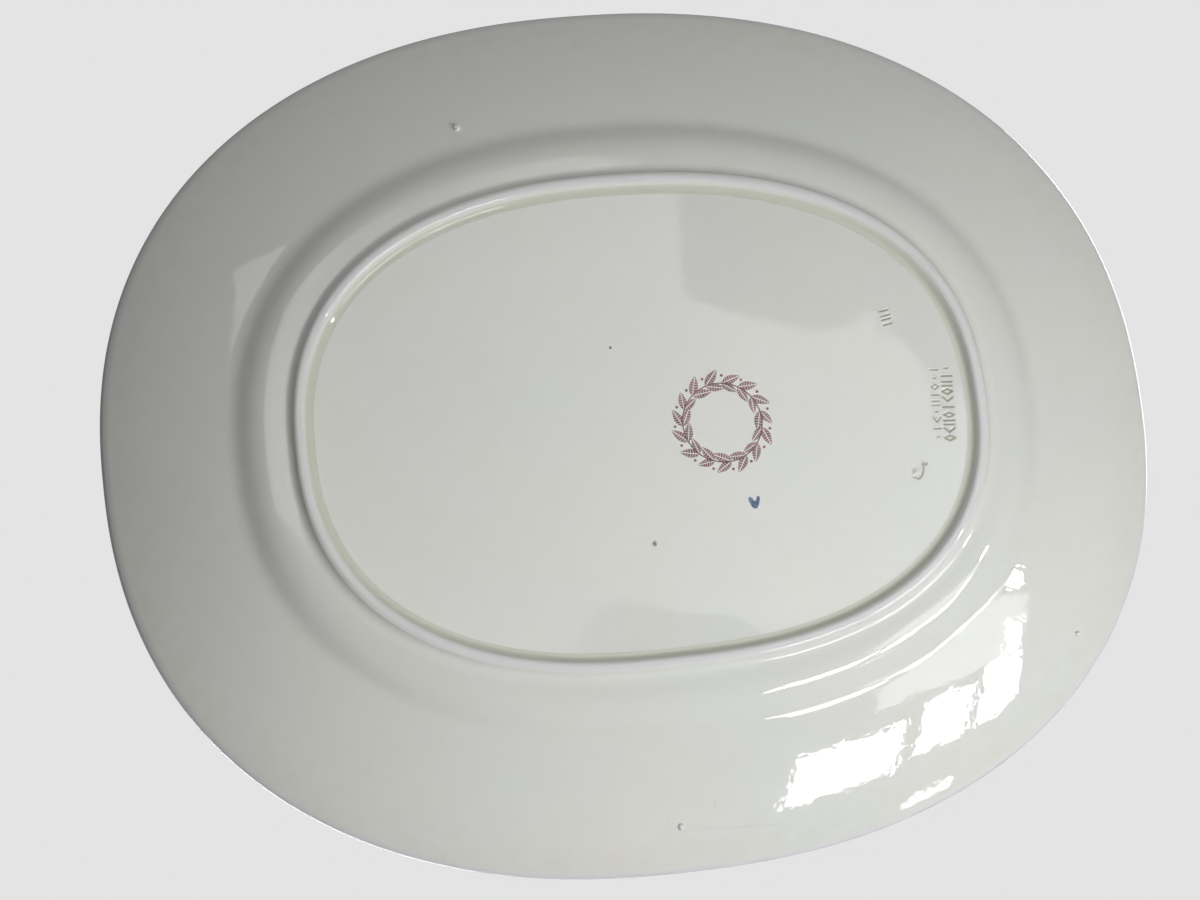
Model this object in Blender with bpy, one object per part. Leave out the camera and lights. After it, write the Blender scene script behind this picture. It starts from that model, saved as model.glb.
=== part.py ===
"""Oval china serving platter, lying on its foot ring with the food side up.

The clay body is one pressed dish. A strip of clay is luted to its back as a foot ring, and a skin
of glaze covers the rest: one coat from the well over the lip and down the back to the foot, and one
panel inside the foot. A printed wreath, a painter's dab and the kiln's spur marks sit on the back.

Units are metres, +Z is up, X runs along the dish and Y across it. The origin is the middle of the
overall box, on the plane that the foot stands on.

Every oval of the dish is placed by its distance out from the foot line, which is the oval along
the middle of the foot's crest, and by an offset. Distances are measured on the long axis and are
shared out between the foot, shoulder and edge ovals. An offset is the same all the way round, so
walls, skins and gaps keep their size where the ovals aren't parallel.
"""

import math

import bmesh
import bpy
import numpy as np
from mathutils import Vector

# Driving dimensions.
LENGTH = 0.3560
WIDTH = 0.2964
RIM_SQUARENESS = 2.26  # 2 is an ellipse, and larger values fill the corners of the oval

SHOULDER_LENGTH = 0.2690  # the crease on the back where the shoulder turns into the rim
SHOULDER_WIDTH = 0.2052
SHOULDER_SQUARENESS = 2.30

FOOT_LENGTH = 0.2293
FOOT_WIDTH = 0.1644
FOOT_SQUARENESS = 2.38
FOOT_HEIGHT = 0.0031  # the finished back inside and beside the foot, above the bearing plane
FOOT_BAND = 0.0016  # width of the worn flat that the platter stands on
FOOT_OUTER = 0.0027  # from the foot line to the outer side of the foot
FOOT_INNER = 0.0025

SHOULDER_RISE = 0.0068
SHOULDER_POWER = 2.4  # how late the shoulder turns up
SHOULDER_EASE = 0.0018  # how softly it runs into the rim
RIM_RISE = 0.0184
RIM_DISH = 0.27  # how much steeper the rim gets towards its edge

WALL = 0.0052  # finished thickness through the well
LIP = 0.0038  # finished thickness at the edge
GLAZE = 0.0004
GAP = 0.0003  # between neighbouring pieces

OUT_OF_TRUE = 0.0005  # the clay dries a little out of true, with three low swellings
OUT_OF_TRUE_LOBES = 3
OUT_OF_TRUE_TURN = math.radians(78)

WREATH_CENTRE = (-0.0265, -0.0033)
WREATH_RADIUS = 0.0136
WREATH_BAND = 0.0060
WREATH_LEAVES = 14
PRINT_THICKNESS = 0.0002

DAB_CENTRE = (-0.0338, -0.0309)
DAB_LENGTH = 0.0046
DAB_WIDTH = 0.0036
DAB_TURN = math.radians(20)

# Each spur mark: where it is round the dish, how far across the rim it lies, and its radius.
RIM_SPURS = ((65.7, 0.197, 0.0011), (209.9, 0.756, 0.0008), (270.3, 0.685, 0.0010))
WELL_SPUR = (0.0012, -0.0422, 0.0006)

# How finely the curves are cut.
AROUND = 80
LIP_STEPS = (90, 45, 0, -30)  # degrees up from level, over the half round of the lip
WELL_STEPS = 6
RIM_STEPS = 5
SHOULDER_STEPS = 7
FOOT_STEPS = 4
DAB_STEPS = 20
LEAF_STEPS = 6

# Sizes that follow.
SHOULDER_OUT = (SHOULDER_LENGTH - FOOT_LENGTH) / 2
EDGE_OUT = (LENGTH - FOOT_LENGTH) / 2
SKIN = GLAZE + GAP
PRINT_FACE = FOOT_HEIGHT - GAP

CLAY = ("fired_clay", (0.78, 0.73, 0.64), 0.75)
GLAZED = ("cream_glaze", (0.80, 0.80, 0.74), 0.12)
PLUM = ("plum_print", (0.27, 0.11, 0.13), 0.30)
BLUE = ("blue_enamel", (0.10, 0.17, 0.38), 0.30)
GRIT = ("kiln_grit", (0.70, 0.66, 0.58), 0.80)


def material(finish):
    """A Principled material, made once for each finish."""
    name, colour, roughness = finish
    made = bpy.data.materials.get(name) or bpy.data.materials.new(name)
    made.use_nodes = True
    made.diffuse_color = (*colour, 1)
    shader = made.node_tree.nodes["Principled BSDF"]
    shader.inputs["Base Color"].default_value = (*colour, 1)
    shader.inputs["Roughness"].default_value = roughness
    shader.inputs["Metallic"].default_value = 0
    return made


def ovals(distance):
    """Half length, half width and squareness of the oval at a distance out from the foot line."""
    at = (0, SHOULDER_OUT, EDGE_OUT)
    length = np.interp(distance, at, (FOOT_LENGTH, SHOULDER_LENGTH, LENGTH)) / 2
    width = np.interp(distance, at, (FOOT_WIDTH, SHOULDER_WIDTH, WIDTH)) / 2
    square = np.interp(distance, at, (FOOT_SQUARENESS, SHOULDER_SQUARENESS, RIM_SQUARENESS))
    return length, width, square


def oval_point(angle, distance, offset=0.0):
    """The point of an oval in a direction from the middle, before the box is centred."""
    length, width, square = ovals(distance)
    along = abs(math.cos(angle) / (length + offset)) ** square
    across = abs(math.sin(angle) / (width + offset)) ** square
    swell = OUT_OF_TRUE * math.cos(OUT_OF_TRUE_LOBES * (angle - OUT_OF_TRUE_TURN))
    radius = (along + across) ** (-1 / square) + swell
    return np.array((radius * math.cos(angle), radius * math.sin(angle)))


def turns(steps):
    """Equal turns round a circle."""
    return [2 * math.pi * i / steps for i in range(steps)]


def box_middle():
    """The middle of the outline's box, which is a little off the middle of its ovals."""
    outline = np.array([oval_point(angle, EDGE_OUT) for angle in turns(AROUND)])
    return (outline.max(0) + outline.min(0)) / 2


MIDDLE = box_middle()


def oval_loop(distance, offset, height):
    """The corners of one oval of the dish."""
    corners = [oval_point(angle, distance, offset) - MIDDLE for angle in turns(AROUND)]
    return [(x, y, height) for x, y in corners]


def soft_least(a, b, ease):
    """The lesser of two values, rounded where they meet."""
    near = max(ease - abs(a - b), 0) / ease
    return min(a, b) - near * near * ease / 4


def back_height(reach):
    """Height of the finished back above the bearing plane, at a distance and offset added up."""
    along = max(reach / SHOULDER_OUT, 0)
    shoulder = FOOT_HEIGHT + SHOULDER_RISE * along**SHOULDER_POWER
    across = (reach - SHOULDER_OUT) / (EDGE_OUT - SHOULDER_OUT)
    rim = FOOT_HEIGHT + SHOULDER_RISE + RIM_RISE * across * (1 - RIM_DISH + RIM_DISH * across)
    return soft_least(shoulder, rim, SHOULDER_EASE)


def back_slope(reach):
    """Slope angle of the finished back."""
    step = 1e-5
    return math.atan2(back_height(reach + step) - back_height(reach - step), 2 * step)


def lip_start():
    """Where the back meets the half round of the lip, and the slope there."""
    start = EDGE_OUT - LIP / 2
    for _ in range(8):
        slope = back_slope(start)
        start = EDGE_OUT - LIP / 2 * (1 - math.sin(slope))
    return start, slope


def back_stations(shoulder_steps, rim_steps, lip_back):
    """(distance, offset) of the ovals from the foot's outer side to the lip."""
    beside_foot = FOOT_OUTER + GAP
    stations = []
    for i in range(shoulder_steps):
        share = i / shoulder_steps
        stations.append((SHOULDER_OUT * share, beside_foot * (1 - share)))
    for i in range(rim_steps + 1):
        share = i / rim_steps
        stations.append((SHOULDER_OUT + (EDGE_OUT - SHOULDER_OUT) * share, lip_back * share))
    return stations


def face_point(distance, offset):
    """The point of the food side that lies straight through the wall from the back."""
    reach = distance + offset
    slope = back_slope(reach)
    thick = float(np.interp(reach, (SHOULDER_OUT, EDGE_OUT), (WALL, LIP)))
    lifted = back_height(reach) + thick * math.cos(slope)
    return distance, offset - thick * math.sin(slope), lifted


def finished_profile():
    """(distance, offset, height) from the rim of the flat well floor, over the lip, to the foot."""
    start, slope = lip_start()
    lip_back = start - EDGE_OUT
    lip_up = back_height(start) + LIP / 2 * math.cos(slope)

    front = [face_point(*station) for station in back_stations(WELL_STEPS, RIM_STEPS, lip_back)]
    front[0] = (0.0, FOOT_OUTER, FOOT_HEIGHT + WALL)
    lip = []
    for degrees in LIP_STEPS:
        turn = math.radians(degrees)
        lip.append((EDGE_OUT, LIP / 2 * (math.cos(turn) - 1), lip_up + LIP / 2 * math.sin(turn)))
    back = []
    for distance, offset in reversed(back_stations(SHOULDER_STEPS, RIM_STEPS, lip_back)):
        back.append((distance, offset, back_height(distance + offset)))
    return front + lip + back


def inset(profile, depth):
    """The profile moved into the wall, square to itself. Its two ends move straight up or down."""
    points = np.array(profile)
    section = np.stack([points[:, 0] + points[:, 1], points[:, 2]], axis=1)
    run = np.gradient(section, axis=0)
    run[0] = (1, 0)
    run[-1] = (-1, 0)
    run /= np.linalg.norm(run, axis=1, keepdims=True)
    points[:, 1] += run[:, 1] * depth
    points[:, 2] -= run[:, 0] * depth
    return [tuple(point) for point in points]


def loft(name, loops, finish, hollow=False):
    """Joins the loops in order. A hollow loft joins the last to the first; others get two caps."""
    bm = bmesh.new()
    rows = [[bm.verts.new(corner) for corner in loop] for loop in loops]
    pairs = list(zip(rows, rows[1:]))
    if hollow:
        pairs.append((rows[-1], rows[0]))
    else:
        bm.faces.new(rows[0])
        bm.faces.new(rows[-1])
    for near, far in pairs:
        for i, corner in enumerate(near):
            bm.faces.new((corner, near[i - 1], far[i - 1], far[i]))
    return finish_mesh(name, bm, finish)


def finish_mesh(name, bm, finish):
    """Turns the faces outwards, makes the object and shades it smooth."""
    bmesh.ops.recalc_face_normals(bm, faces=bm.faces)
    mesh = bpy.data.meshes.new(name)
    bm.to_mesh(mesh)
    bm.free()
    mesh.materials.append(material(finish))
    made = bpy.data.objects.new(name, mesh)
    bpy.context.collection.objects.link(made)
    mesh.shade_smooth()
    mesh.set_sharp_from_angle(angle=math.radians(40))
    return made


def oval_loft(name, profile, finish, hollow=False):
    """A loft through the dish's own ovals."""
    loops = [oval_loop(*point) for point in profile]
    return loft(name, loops, finish, hollow)


def make_dish():
    """The clay body and the coat of glaze over it."""
    finished = finished_profile()
    body = inset(finished, SKIN)
    oval_loft("platter_body", body, CLAY)
    coat_back = list(reversed(inset(finished, GLAZE)))
    oval_loft("glaze_coat", finished + coat_back, GLAZED)
    return body[-1][2]


def make_foot(body_back):
    """The luted foot ring, a half-round strip with a worn flat on its crest."""
    top = body_back - GAP

    def side(reach):
        sweep = [math.pi / 2 * i / FOOT_STEPS for i in range(FOOT_STEPS + 1)]
        half_band = math.copysign(FOOT_BAND / 2, reach)
        rest = reach - half_band
        return [(0, half_band + rest * math.sin(a), FOOT_HEIGHT * (1 - math.cos(a))) for a in sweep]

    outer = side(FOOT_OUTER) + [(0, FOOT_OUTER, top)]
    inner = side(-FOOT_INNER) + [(0, -FOOT_INNER, top)]
    oval_loft("foot_ring", outer + list(reversed(inner)), GLAZED, hollow=True)


def make_panel():
    """The glaze inside the foot ring."""
    offset = -FOOT_INNER - GAP
    faces = [(0, offset, FOOT_HEIGHT), (0, offset, FOOT_HEIGHT + GLAZE)]
    oval_loft("glaze_panel", faces, GLAZED)


def make_wreath():
    """The printed wreath: a flat ring whose two edges swell out and in with each leaf."""

    def loop(side, height):
        corners = []
        for angle in turns(WREATH_LEAVES * LEAF_STEPS):
            leaf = abs(math.sin(WREATH_LEAVES / 2 * angle))
            radius = WREATH_RADIUS + side * WREATH_BAND / 2 * (0.45 + 0.55 * leaf)
            x = WREATH_CENTRE[0] + radius * math.cos(angle)
            y = WREATH_CENTRE[1] + radius * math.sin(angle)
            corners.append((x, y, height))
        return corners

    low = PRINT_FACE - PRINT_THICKNESS
    loops = [loop(1, low), loop(1, PRINT_FACE), loop(-1, PRINT_FACE), loop(-1, low)]
    loft("printed_wreath", loops, PLUM, hollow=True)


def make_dab():
    """The painter's dab of blue, a short drop-shaped brush mark."""

    def loop(height):
        corners = []
        for angle in turns(DAB_STEPS):
            along = DAB_LENGTH / 2 * math.cos(angle)
            across = DAB_WIDTH / 2 * math.sin(angle) * (1 - 0.45 * math.cos(angle))
            x = along * math.cos(DAB_TURN) - across * math.sin(DAB_TURN)
            y = along * math.sin(DAB_TURN) + across * math.cos(DAB_TURN)
            corners.append((DAB_CENTRE[0] + x, DAB_CENTRE[1] + y, height))
        return corners

    loft("painted_dab", [loop(PRINT_FACE - PRINT_THICKNESS), loop(PRINT_FACE)], BLUE)


def make_crumb(name, spot, radius, lean):
    """A spur mark: a crumb of kiln furniture, flattened against the glaze, leaning with the back."""
    bm = bmesh.new()
    bmesh.ops.create_icosphere(bm, subdivisions=2, radius=radius)
    for vert in bm.verts:
        vert.co.z *= 0.6
    crumb = finish_mesh(name, bm, GRIT)
    up = Vector((-lean.x, -lean.y, 1)).normalized()
    crumb.rotation_mode = "QUATERNION"
    crumb.rotation_quaternion = up.to_track_quat("Z", "X")
    crumb.location = Vector(spot) - up * (radius * 0.6 + GAP)


def make_spurs():
    """Three spur marks on the back of the rim and one in the middle of the back."""
    for number, (degrees, across, radius) in enumerate(RIM_SPURS, start=1):
        angle = math.radians(degrees)
        distance = SHOULDER_OUT + (EDGE_OUT - SHOULDER_OUT) * across
        x, y = oval_point(angle, distance) - MIDDLE
        outward = Vector((math.cos(angle), math.sin(angle))) * math.tan(back_slope(distance))
        make_crumb(f"spur_mark_{number}", (x, y, back_height(distance)), radius, outward)
    x, y, radius = WELL_SPUR
    make_crumb(f"spur_mark_{len(RIM_SPURS) + 1}", (x, y, FOOT_HEIGHT), radius, Vector((0, 0)))


def main():
    for old in list(bpy.data.objects):
        bpy.data.objects.remove(old, do_unlink=True)
    body_back = make_dish()
    make_foot(body_back)
    make_panel()
    make_wreath()
    make_dab()
    make_spurs()


main()
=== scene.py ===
# %% [markdown]
# # An oval china platter, seen from its back
#
# This notebook dresses a measured platter for its picture. The measured model is plain: ovals of
# glazed clay, a foot ring, a small printed wreath and a few kiln marks. Here it gets a finer
# surface, its glaze, its stamp marks, its light and its camera.

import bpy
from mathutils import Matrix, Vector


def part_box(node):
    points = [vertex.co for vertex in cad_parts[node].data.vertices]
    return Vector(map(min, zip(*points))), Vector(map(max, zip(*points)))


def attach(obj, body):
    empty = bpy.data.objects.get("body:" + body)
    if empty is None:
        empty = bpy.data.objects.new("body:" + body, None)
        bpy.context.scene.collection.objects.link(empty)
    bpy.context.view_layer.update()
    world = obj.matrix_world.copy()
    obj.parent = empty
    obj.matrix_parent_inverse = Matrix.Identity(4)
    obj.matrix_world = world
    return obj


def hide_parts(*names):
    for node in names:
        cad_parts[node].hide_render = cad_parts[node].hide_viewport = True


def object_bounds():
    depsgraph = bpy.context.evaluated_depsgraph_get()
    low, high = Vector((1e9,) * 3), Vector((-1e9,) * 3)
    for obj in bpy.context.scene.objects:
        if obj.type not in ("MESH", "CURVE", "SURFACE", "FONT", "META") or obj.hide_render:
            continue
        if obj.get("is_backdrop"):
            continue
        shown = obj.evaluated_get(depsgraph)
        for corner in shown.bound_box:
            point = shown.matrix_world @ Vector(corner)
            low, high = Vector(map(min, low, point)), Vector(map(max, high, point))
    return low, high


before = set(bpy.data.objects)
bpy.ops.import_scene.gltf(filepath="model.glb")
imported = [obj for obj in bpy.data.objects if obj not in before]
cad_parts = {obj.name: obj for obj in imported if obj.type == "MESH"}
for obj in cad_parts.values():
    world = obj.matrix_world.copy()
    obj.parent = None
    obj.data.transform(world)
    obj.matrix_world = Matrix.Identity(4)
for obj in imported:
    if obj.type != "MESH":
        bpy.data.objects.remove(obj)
measured_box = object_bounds()
print("nodes:", sorted(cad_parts))
print("measured box:", measured_box)

# %% [markdown]
# ## What the notebook needs
#
# Blender's own modules come with it. Units are metres, Z is up, and the platter stands on its foot
# at height zero, so its back looks down. Small jobs that many steps share are kept in one place.

# %% Modules and shared values
import math

import bmesh
import bpy
import numpy as np
from mathutils import Matrix, Vector, geometry, noise

MM = 0.001
FULL_TURN = 2 * math.pi


def turns(steps):
    """Equal turns round a circle."""
    return [FULL_TURN * i / steps for i in range(steps)]


def share(value, low, high):
    """0 up to the low value, 1 from the high one, and evenly between them."""
    return min(max((value - low) / (high - low), 0), 1)


def put(name, data):
    """Puts a mesh, lamp or camera into the scene as an object at the origin."""
    made = bpy.data.objects.new(name, data)
    bpy.context.collection.objects.link(made)
    return made


def closed(bm, name, finish=None):
    """Ends a mesh that was being built, and gives it its finish."""
    mesh = bpy.data.meshes.new(name)
    bm.to_mesh(mesh)
    bm.free()
    if finish:
        mesh.materials.append(finish)
    return mesh


def box_middle(node):
    """The middle of a measured node's box."""
    low, high = (Vector(corner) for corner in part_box(node))
    return (low + high) / 2


print("one unit is a metre, and a millimetre is", MM)

# %% [markdown]
# ## The rule of the ovals
#
# A pressed platter isn't a true ellipse: its ovals are a little squarer, and they change from the
# foot to the edge. Each is a superellipse, placed by its distance out from the foot line, and an
# offset that is the same all the way round. The clay also dries out of true, with three low
# swellings. The same rule made the measured model, so a fine surface built on it fits exactly.

# %% The ovals of the platter
FOOT = (229.3 * MM, 164.4 * MM, 2.38)  # length, width, squareness
SHOULDER = (269.0 * MM, 205.2 * MM, 2.30)
EDGE = (356.0 * MM, 296.4 * MM, 2.26)
SHOULDER_OUT = (SHOULDER[0] - FOOT[0]) / 2
EDGE_OUT = (EDGE[0] - FOOT[0]) / 2
OUT_OF_TRUE = 0.5 * MM
LOBES = 3
LOBE_TURN = math.radians(78)


def oval_point(angle, distance, offset=0.0):
    """A point of an oval, before the box is centred."""
    at = (0, SHOULDER_OUT, EDGE_OUT)
    length, width, square = (np.interp(distance, at, sizes) for sizes in zip(FOOT, SHOULDER, EDGE))
    along = abs(math.cos(angle) / (length / 2 + offset)) ** square
    across = abs(math.sin(angle) / (width / 2 + offset)) ** square
    radius = (along + across) ** (-1 / square) + OUT_OF_TRUE * math.cos(LOBES * (angle - LOBE_TURN))
    return np.array((radius * math.cos(angle), radius * math.sin(angle)))


outline = np.array([oval_point(angle, EDGE_OUT) for angle in turns(80)])
MIDDLE = (outline.max(0) + outline.min(0)) / 2
print("ovals measured from", MIDDLE / MM, "mm; shoulder", SHOULDER_OUT / MM, "edge", EDGE_OUT / MM)

# %% [markdown]
# ## The section of the platter
#
# Cut across, the back is flat beside the foot, turns up in a shoulder and runs out in a rim that
# steepens a little. The food side follows it at the thickness of the wall, and a half round joins
# the two at the lip. One function gives the height of the back, and all else follows it. Glaze
# ran down into the corner beside the foot, so its surface turns up later than the clay's.

# %% The section
FOOT_HEIGHT = 3.1 * MM
FOOT_OUTER = 2.7 * MM
FOOT_INNER = 2.5 * MM
SHOULDER_RISE = 6.8 * MM
RIM_RISE = 18.4 * MM
RIM_DISH = 0.27
WALL = 5.2 * MM
LIP = 3.8 * MM
BODY_BEND = 2.4  # how late the shoulder turns up, in the clay
GLAZE_BEND = 3.1  # and in the glaze, which fills the corner beside the foot


def back_height(reach, bend=BODY_BEND):
    """Height of the back above the table, at a reach out from the foot line."""
    shoulder = FOOT_HEIGHT + SHOULDER_RISE * max(reach / SHOULDER_OUT, 0) ** bend
    across = (reach - SHOULDER_OUT) / (EDGE_OUT - SHOULDER_OUT)
    rim = FOOT_HEIGHT + SHOULDER_RISE + RIM_RISE * across * (1 - RIM_DISH + RIM_DISH * across)
    ease = 1.8 * MM
    near = max(ease - abs(shoulder - rim), 0) / ease
    return min(shoulder, rim) - near * near * ease / 4


def back_slope(reach):
    """Slope angle of the back."""
    step = 0.01 * MM
    return math.atan2(back_height(reach + step) - back_height(reach - step), 2 * step)


def lip_start():
    """Where the back meets the half round of the lip."""
    start = EDGE_OUT - LIP / 2
    for _ in range(8):
        start = EDGE_OUT - LIP / 2 * (1 - math.sin(back_slope(start)))
    return start


LIP_START = lip_start()
LIP_UP = back_height(LIP_START) + LIP / 2 * math.cos(back_slope(LIP_START))
print("the lip is centred at height", round(LIP_UP / MM, 2), "mm")

# %% [markdown]
# ## Writing node trees as sums
#
# Both finishes and shapes are node trees here, and most of their nodes only add and multiply. A
# small class holds an output socket and answers +, -, * and the rest by adding a Math node, so a
# formula reads as it would on paper.

# %% A wire that does arithmetic
class Wire:
    """An output socket that arithmetic can be written on."""

    def __init__(self, tree, socket):
        self.tree, self.socket = tree, socket

    def maths(self, operation, *parts):
        return self.tree.add("ShaderNodeMath", {"operation": operation}, dict(enumerate(parts)))

    def __abs__(self):
        return self.maths("ABSOLUTE", self)

    def cos(self):
        return self.maths("COSINE", self)

    def sin(self):
        return self.maths("SINE", self)

    def spread(self, low, high, to_low=0.0, to_high=1.0, shape="LINEAR"):
        """Maps a range to another and holds it there."""
        values = {"Value": self, "From Min": low, "From Max": high}
        values.update({"To Min": to_low, "To Max": to_high})
        settings = {"interpolation_type": shape, "clamp": True}
        return self.tree.add("ShaderNodeMapRange", settings, values, "Result")

    def step(self, low, high):
        """Eases from 0 to 1 between two values."""
        return self.spread(low, high, shape="SMOOTHSTEP")


def give_operator(name, operation):
    """Gives wires an operator and its reflected form."""
    setattr(Wire, f"__{name}__", lambda self, other: self.maths(operation, self, other))
    setattr(Wire, f"__r{name}__", lambda self, other: self.maths(operation, other, self))


OPERATORS = {"add": "ADD", "sub": "SUBTRACT", "mul": "MULTIPLY"}
OPERATORS.update({"truediv": "DIVIDE", "pow": "POWER"})
for name, operation in OPERATORS.items():
    give_operator(name, operation)
print("operators of a wire:", list(OPERATORS))

# %% [markdown]
# A tree is filled from empty by one method. It takes a node's kind, its settings and its sockets,
# and a socket may be given a value or a wire. Colours and vectors have a helper each, since Math
# nodes only carry numbers.

# %% A tree that nodes are added to
class Tree:
    """A node tree, for a finish or a shape."""

    def __init__(self, tree):
        self.tree = tree
        tree.nodes.clear()

    def node(self, kind, settings=None, sockets=None):
        """Adds a node, sets it up, then fills its sockets with values or wires."""
        made = self.tree.nodes.new(kind)
        for name, value in (settings or {}).items():
            setattr(made, name, value)
        for name, value in (sockets or {}).items():
            if isinstance(value, Wire):
                self.tree.links.new(value.socket, made.inputs[name])
            elif value is not None:
                made.inputs[name].default_value = value
        return made

    def add(self, kind, settings=None, sockets=None, output=0):
        """Adds a node and gives the wire from one of its outputs."""
        return Wire(self, self.node(kind, settings, sockets).outputs[output])

    def blend(self, share, first, second):
        """Mixes two colours."""
        first, second = (c if isinstance(c, Wire) else (*c, 1) for c in (first, second))
        sockets = {0: share, 6: first, 7: second}
        return self.add("ShaderNodeMix", {"data_type": "RGBA"}, sockets, 2)

    def vector(self, operation, first, second=None, **others):
        """A Vector Math node."""
        sockets = {0: first, 1: second, **others}
        output = 1 if operation in ("LENGTH", "DISTANCE", "DOT_PRODUCT") else 0
        return self.add("ShaderNodeVectorMath", {"operation": operation}, sockets, output)

    def parts(self, vector):
        """The X, Y and Z of a vector."""
        split = self.node("ShaderNodeSeparateXYZ", None, {"Vector": vector})
        return [Wire(self, output) for output in split.outputs]


print("helpers of a tree:", [name for name in vars(Tree) if not name.startswith("_")])

# %% [markdown]
# ## The cream glaze
#
# The platter is a pale body under a clear glaze that leans to cream and green. Where the glaze is
# thin, on the crest of the foot and the edge of the lip, it is paler, and a painted lilac sheen
# there stands for cool light. Where it pooled, in the corner of the foot and the crease of the
# well, it looks grey-green, and painted shade goes with the pooling, on the back towards the lip
# and in the stamps' hollows. The sweep stores those places as two attributes, one for thin glaze
# and one for pooled glaze with painted shade. The glaze is smooth glass, so the gloss over the
# soft body colour is sharp, and bump gives the slight orange peel that makes reflections ragged.

# %% Colour shared by all the glaze
CREAM = (0.790, 0.797, 0.752)
COOL = (0.762, 0.790, 0.770)
WARM = (0.806, 0.790, 0.746)
THIN_SHEEN_TONE = (0.775, 0.765, 0.805)
POOL_AND_SHADE_TONE = (0.600, 0.615, 0.500)
HOLLOW_SHADE_TONE = (0.300, 0.305, 0.235)
DULL_TONE = (0.70, 0.69, 0.62)
PEEL_GRAIN = 2.2 * MM
GLASS_IOR = 1.5


def new_finish(name):
    """An empty finish, its tree and the wire of object coordinates."""
    finish = bpy.data.materials.new(name)
    finish.use_nodes = True
    tree = Tree(finish.node_tree)
    return finish, tree, tree.add("ShaderNodeTexCoord", output="Object")


def end_finish(tree, sockets, kind="ShaderNodeBsdfPrincipled"):
    """The shader and the output."""
    shader = tree.add(kind, None, sockets)
    tree.node("ShaderNodeOutputMaterial", None, {"Surface": shader})


def bumped(tree, height, strength, depth):
    """A Bump node's normal."""
    sockets = {"Strength": strength, "Distance": depth, "Height": height}
    return tree.add("ShaderNodeBump", None, sockets, "Normal")


def clouds(tree, where, size, detail=2.0, roughness=0.5):
    """Soft noise whose patches have about this size."""
    sockets = {"Vector": where, "Scale": 1 / size, "Detail": detail, "Roughness": roughness}
    return tree.add("ShaderNodeTexNoise", None, sockets, "Fac")


def stored(tree, name):
    """An attribute that a mesh carries."""
    settings = {"attribute_type": "GEOMETRY", "attribute_name": name}
    return tree.add("ShaderNodeAttribute", settings, None, "Fac")


def near_spot(tree, where, spot, radius, ragged):
    """1 within a ragged spot, 0 outside."""
    away = tree.vector("DISTANCE", where, tuple(spot)) + ragged
    return 1 - away.step(radius * 0.75, radius * 1.15)


print("glaze tones, from thin to deep:", THIN_SHEEN_TONE, CREAM, POOL_AND_SHADE_TONE)

# %% [markdown]
# Specks are places, not a pattern: a kiln leaves a handful of them. They are spots on the back with
# their own tones. A very thin scatter of pinholes is added from cells of noise, of which only a few
# in a hundred are picked.

# %% Specks in the glaze
PINHOLE_CELL = 9 * MM
PINHOLE_TONE = (0.34, 0.30, 0.24)
SPECKS = (  # place and radius in millimetres, and tone
    ((7.9, 25.4, 3.1), 0.55, (0.05, 0.05, 0.05)),
    ((136.1, -58.9, 17.0), 0.60, (0.16, 0.24, 0.42)),
    ((143.9, -58.1, 19.0), 0.50, (0.30, 0.20, 0.12)),
    ((-85.7, -82.3, 9.5), 0.50, (0.12, 0.11, 0.10)),
)


def speckled(tree, where, colour):
    """Adds the specks and the pinholes to a colour."""
    ragged = (clouds(tree, where, 0.8 * MM, 1.0) - 0.5) * 0.5 * MM
    for spot, radius, tone in SPECKS:
        mask = near_spot(tree, where, Vector(spot) * MM, radius * MM, ragged)
        colour = tree.blend(mask * 0.8, colour, tone)
    cells = tree.node("ShaderNodeTexVoronoi", None, {"Vector": where, "Scale": 1 / PINHOLE_CELL})
    pick = tree.add("ShaderNodeSeparateColor", None, {"Color": Wire(tree, cells.outputs["Color"])})
    close = 1 - Wire(tree, cells.outputs["Distance"]).step(0.012, 0.030)
    few = pick.step(0.93, 0.94)
    return tree.blend(close * few * 0.45, colour, PINHOLE_TONE)


def make_glaze(name, peel_size, peel_height, grain, painted_brightness, worn=False):
    """The glaze, with its colour scaled by a painted brightness. A worn one has its crest rubbed
    dull.
    """
    finish, tree, where = new_finish(name)
    broad = clouds(tree, where, 70 * MM, 3.0, 0.55)
    fine = clouds(tree, where, 6 * MM, 4.0, 0.6)
    thin = (stored(tree, "thin") + (fine - 0.5) * 0.35).step(0.15, 0.85)
    pooled = stored(tree, "pool")
    pool = (pooled + (fine - 0.5) * 0.30).step(0.10, 0.95)

    colour = tree.blend(broad.step(0.35, 0.65), COOL, WARM)
    colour = tree.blend(0.45, colour, CREAM)
    colour = tree.blend(fine.step(0.30, 0.75) * 0.10, colour, DULL_TONE)
    # Grey-green where the glaze pooled. The same tone is painted shade where the back darkens
    # towards the lip.
    colour = tree.blend(pool * 0.75, colour, POOL_AND_SHADE_TONE)
    # Paler where the glaze is thin, plus a painted lilac sheen that stands for cool light on the
    # lip and the foot's crest.
    colour = tree.blend(thin * 0.85, colour, THIN_SHEEN_TONE)
    # A dark painted shade in the deepest parts of the stamps' hollows.
    colour = tree.blend(pooled.step(0.9, 2.1) * 0.80, colour, HOLLOW_SHADE_TONE)
    colour = speckled(tree, where, colour)
    # Painted brightness: the whole colour is made lighter or darker for the light that falls on
    # this copy.
    colour = tree.vector("SCALE", colour, Scale=painted_brightness)

    peel = clouds(tree, where, peel_size, 2.0) + clouds(tree, where, PEEL_GRAIN, 2.0) * grain
    rough = fine.spread(0.3, 0.7, 0.016, 0.022)
    if worn:
        rough = rough + thin * 0.03
    relief = bumped(tree, peel, 1.0, peel_height)
    sockets = {"Base Color": colour, "Roughness": rough, "IOR": GLASS_IOR, "Normal": relief}
    end_finish(tree, sockets)
    return finish


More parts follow.
